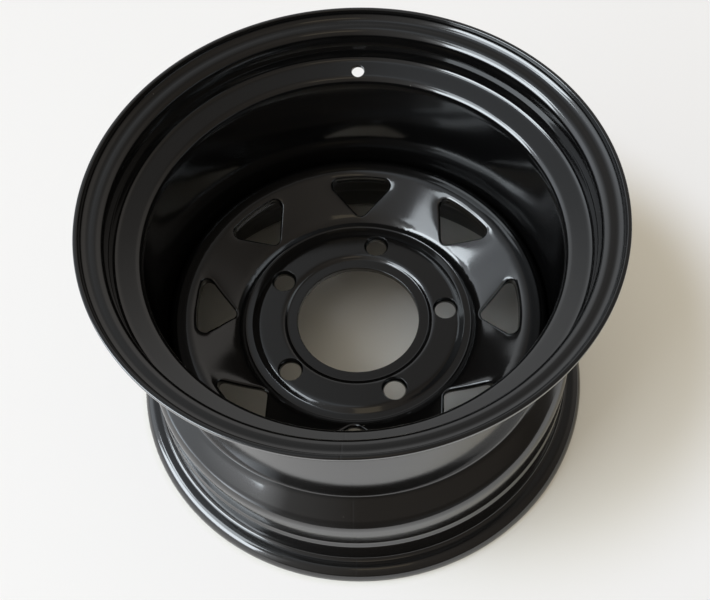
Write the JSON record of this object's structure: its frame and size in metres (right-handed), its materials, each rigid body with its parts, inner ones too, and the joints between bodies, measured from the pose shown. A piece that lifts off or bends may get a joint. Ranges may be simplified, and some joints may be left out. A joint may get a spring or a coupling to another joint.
{
  "type": "steel wheel",
  "caption": "Wide pressed-steel off-road wheel in black paint: a rolled drop-centre rim with a welded windowed disc, a central bore and lug holes that bolt to a hub.",
  "frame": {"origin": "on the floor, in the middle of the circle where the wheel's inner lip rests", "axes": "+Z along the axle towards the outer face, +Y through the valve hole"},
  "size_m": [0.4401, 0.4402, 0.28],
  "materials": {
    "black_paint": "semi-gloss black paint over steel"
  },
  "bodies": {
    "root": {"rim": "black_paint", "disc": "black_paint", "weld_beads": "black_paint"}
  },
  "joints": []
}
